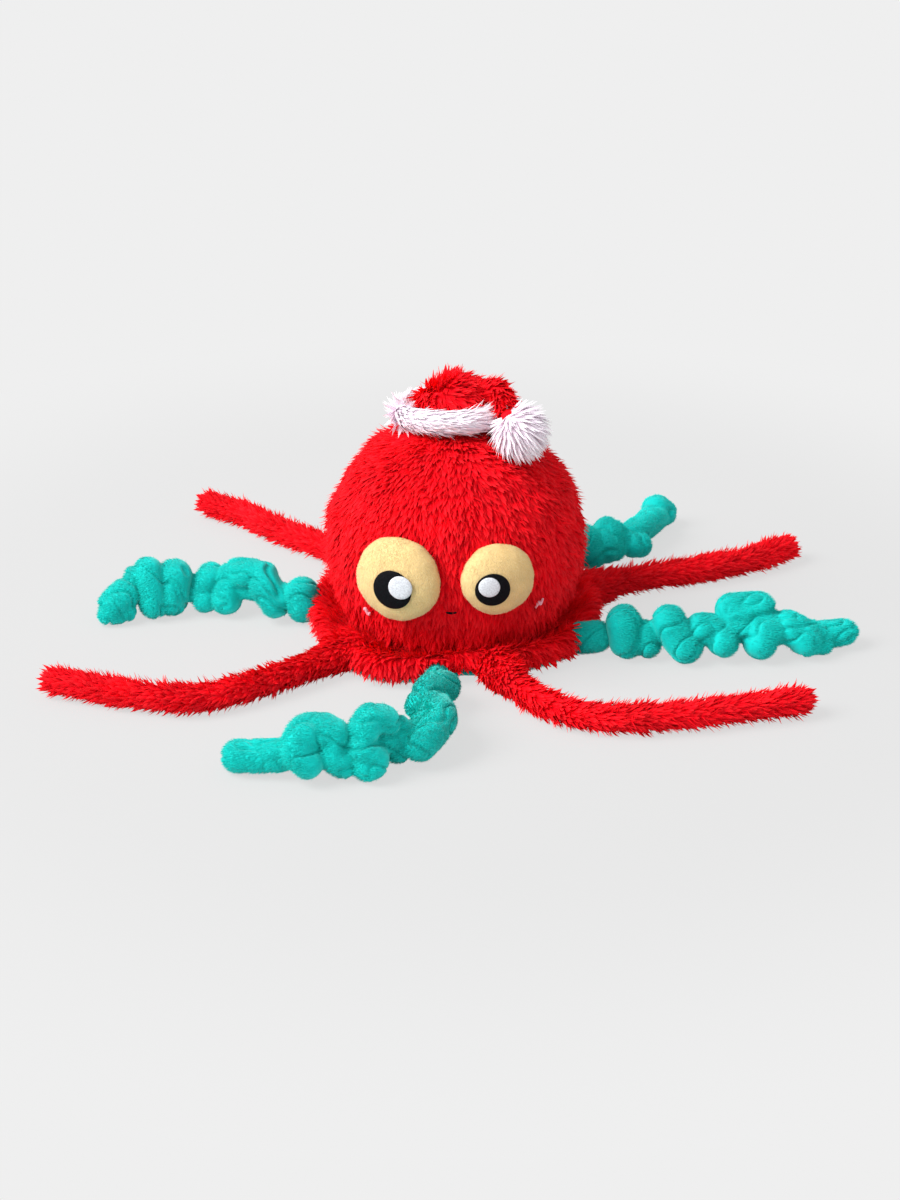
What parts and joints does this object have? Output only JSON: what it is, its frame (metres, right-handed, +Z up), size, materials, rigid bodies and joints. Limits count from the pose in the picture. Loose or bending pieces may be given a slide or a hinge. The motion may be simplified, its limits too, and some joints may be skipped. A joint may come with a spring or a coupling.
{
  "type": "plush octopus",
  "caption": "Round stuffed octopus with a face, a fur hat with a pompom, stuffed fur legs that fold and gathered velvet legs that stretch.",
  "frame": {"origin": "centre of the skirt's flat base, on the surface it rests on", "axes": "+Z up, the face looks along -Y, +X is to the right seen from the front"},
  "size_m": [0.4518, 0.3566, 0.1523],
  "materials": {
    "red_plush": "long-pile plush, matt with a soft sheen",
    "turquoise_velvet": "short-pile velvet with a pale nap",
    "yellow_velboa": "short-pile velboa, matt",
    "white_fur": "straight long fur",
    "black_thread": "satin-stitched thread",
    "white_thread": "satin-stitched thread",
    "pink_thread": "satin-stitched thread",
    "fibrefill": "loose polyester fibrefill",
    "elastic": "covered round elastic",
    "squeaker_polythene": "thin blown polythene"
  },
  "bodies": {
    "body": {"head_face_panel": "red_plush", "head_back_panel_left": "red_plush", "head_back_panel_right": "red_plush", "skirt_top_panel": "red_plush", "hat_crown": "red_plush", "skirt_base_panel": "turquoise_velvet", "left_eye_pad": "yellow_velboa", "right_eye_pad": "yellow_velboa", "hat_trim": "white_fur", "left_pupil": "black_thread", "right_pupil": "black_thread", "mouth_stitch": "black_thread", "left_glint": "white_thread", "right_glint": "white_thread", "left_blush_mark": "pink_thread", "right_blush_mark": "pink_thread", "head_stuffing_top": "fibrefill", "head_stuffing_bottom": "fibrefill", "skirt_stuffing": "fibrefill", "hat_stuffing": "fibrefill", "squeaker_bulb": "squeaker_polythene", "squeaker_reed_plug": "squeaker_polythene"},
    "pompom_swing": {"hat_tail": "red_plush", "pompom": "white_fur"},
    "fur_leg_front_left": {"fur_leg_front_left_root_fold": "red_plush", "fur_leg_front_left_inner": "red_plush"},
    "fur_leg_front_left_lower": {"fur_leg_front_left_knee": "red_plush", "fur_leg_front_left_outer": "red_plush"},
    "fur_leg_front_right": {"fur_leg_front_right_root_fold": "red_plush", "fur_leg_front_right_inner": "red_plush"},
    "fur_leg_front_right_lower": {"fur_leg_front_right_knee": "red_plush", "fur_leg_front_right_outer": "red_plush"},
    "fur_leg_back_right": {"fur_leg_back_right_root_fold": "red_plush", "fur_leg_back_right_inner": "red_plush"},
    "fur_leg_back_right_lower": {"fur_leg_back_right_knee": "red_plush", "fur_leg_back_right_outer": "red_plush"},
    "fur_leg_back_left": {"fur_leg_back_left_root_fold": "red_plush", "fur_leg_back_left_inner": "red_plush"},
    "fur_leg_back_left_lower": {"fur_leg_back_left_knee": "red_plush", "fur_leg_back_left_outer": "red_plush"},
    "velvet_leg_left": {"velvet_leg_left_sleeve": "turquoise_velvet", "velvet_leg_left_elastic": "elastic"},
    "velvet_leg_left_end": {"velvet_leg_left_end": "turquoise_velvet"},
    "velvet_leg_front": {"velvet_leg_front_sleeve": "turquoise_velvet", "velvet_leg_front_elastic": "elastic"},
    "velvet_leg_front_end": {"velvet_leg_front_end": "turquoise_velvet"},
    "velvet_leg_right": {"velvet_leg_right_sleeve": "turquoise_velvet", "velvet_leg_right_elastic": "elastic"},
    "velvet_leg_right_end": {"velvet_leg_right_end": "turquoise_velvet"},
    "velvet_leg_back": {"velvet_leg_back_sleeve": "turquoise_velvet", "velvet_leg_back_elastic": "elastic"},
    "velvet_leg_back_end": {"velvet_leg_back_end": "turquoise_velvet"}
  },
  "joints": [
    {"name": "pompom_swing", "type": "hinge", "parent": "body", "child": "pompom_swing", "pos_m": [0.02246, -0.0002, 0.14238], "axis": [-0.9052, -0.4249, 0], "range_deg": [0, 100], "deforming": ["hat_tail"]},
    {"name": "fur_leg_front_left_lift", "type": "hinge", "parent": "body", "child": "fur_leg_front_left", "pos_m": [-0.06253, -0.0563, 0.009], "axis": [-0.6691, 0.7431, 0], "range_deg": [-60, 75], "deforming": ["fur_leg_front_left_root_fold"]},
    {"name": "fur_leg_front_left_bend", "type": "hinge", "parent": "fur_leg_front_left", "child": "fur_leg_front_left_lower", "pos_m": [-0.13907, -0.11088, 0.009], "axis": [-0.1843, 0.9829, 0], "range_deg": [-60, 45], "deforming": ["fur_leg_front_left_knee"]},
    {"name": "fur_leg_front_right_lift", "type": "hinge", "parent": "body", "child": "fur_leg_front_right", "pos_m": [0.02596, -0.07994, 0.009], "axis": [-0.9511, -0.309, 0], "range_deg": [-60, 75], "deforming": ["fur_leg_front_right_root_fold"]},
    {"name": "fur_leg_front_right_bend", "type": "hinge", "parent": "fur_leg_front_right", "child": "fur_leg_front_right_lower", "pos_m": [0.10017, -0.13331, 0.009], "axis": [0.1099, -0.9939, 0], "range_deg": [-60, 25], "deforming": ["fur_leg_front_right_knee"]},
    {"name": "fur_leg_back_right_lift", "type": "hinge", "parent": "body", "child": "fur_leg_back_right", "pos_m": [0.07904, 0.02876, 0.009], "axis": [0.342, -0.9397, 0], "range_deg": [-60, 75], "deforming": ["fur_leg_back_right_root_fold"]},
    {"name": "fur_leg_back_right_bend", "type": "hinge", "parent": "fur_leg_back_right", "child": "fur_leg_back_right_lower", "pos_m": [0.14657, 0.05807, 0.009], "axis": [0.3416, -0.9398, 0], "range_deg": [-60, 45], "deforming": ["fur_leg_back_right_knee"]},
    {"name": "fur_leg_back_left_lift", "type": "hinge", "parent": "body", "child": "fur_leg_back_left", "pos_m": [-0.05407, 0.06444, 0.009], "axis": [0.766, 0.6428, 0], "range_deg": [-60, 75], "deforming": ["fur_leg_back_left_root_fold"]},
    {"name": "fur_leg_back_left_bend", "type": "hinge", "parent": "fur_leg_back_left", "child": "fur_leg_back_left_lower", "pos_m": [-0.10765, 0.11561, 0.009], "axis": [0.6772, 0.7358, 0], "range_deg": [-60, 45], "deforming": ["fur_leg_back_left_knee"]},
    {"name": "velvet_leg_left_lift", "type": "hinge", "parent": "body", "child": "velvet_leg_left", "pos_m": [-0.08388, 0.00586, 0.0154], "axis": [0.0698, 0.9976, 0], "range_deg": [-60, 75], "deforming": ["velvet_leg_left_sleeve", "velvet_leg_left_elastic"]},
    {"name": "velvet_leg_left_stretch", "type": "slide", "parent": "velvet_leg_left", "child": "velvet_leg_left_end", "axis": [-0.9649, -0.2628, 0], "range_m": [0, 0.04], "stiffness_N_per_m": 60, "springref_m": -0.004, "deforming": ["velvet_leg_left_sleeve", "velvet_leg_left_elastic"]},
    {"name": "velvet_leg_front_lift", "type": "hinge", "parent": "body", "child": "velvet_leg_front", "pos_m": [-0.01025, -0.08349, 0.0154], "axis": [-0.9925, 0.1219, 0], "range_deg": [-60, 68], "deforming": ["velvet_leg_front_sleeve", "velvet_leg_front_elastic"]},
    {"name": "velvet_leg_front_stretch", "type": "slide", "parent": "velvet_leg_front", "child": "velvet_leg_front_end", "axis": [-0.9991, -0.0415, 0], "range_m": [0, 0.06], "stiffness_N_per_m": 60, "springref_m": -0.004, "deforming": ["velvet_leg_front_sleeve", "velvet_leg_front_elastic"]},
    {"name": "velvet_leg_right_lift", "type": "hinge", "parent": "body", "child": "velvet_leg_right", "pos_m": [0.07488, -0.03818, 0.0154], "axis": [-0.454, -0.891, 0], "range_deg": [-60, 75], "deforming": ["velvet_leg_right_sleeve", "velvet_leg_right_elastic"]},
    {"name": "velvet_leg_right_stretch", "type": "slide", "parent": "velvet_leg_right", "child": "velvet_leg_right_end", "axis": [0.9775, 0.2111, 0], "range_m": [0, 0.055], "stiffness_N_per_m": 60, "springref_m": -0.004, "deforming": ["velvet_leg_right_sleeve", "velvet_leg_right_elastic"]},
    {"name": "velvet_leg_back_lift", "type": "hinge", "parent": "body", "child": "velvet_leg_back", "pos_m": [0.05389, 0.06433, 0.0154], "axis": [0.766, -0.6428, 0], "range_deg": [-60, 75], "deforming": ["velvet_leg_back_sleeve", "velvet_leg_back_elastic"]},
    {"name": "velvet_leg_back_stretch", "type": "slide", "parent": "velvet_leg_back", "child": "velvet_leg_back_end", "axis": [0.3631, 0.9318, 0], "range_m": [0, 0.045], "stiffness_N_per_m": 60, "springref_m": -0.004, "deforming": ["velvet_leg_back_sleeve", "velvet_leg_back_elastic"]}
  ]
}
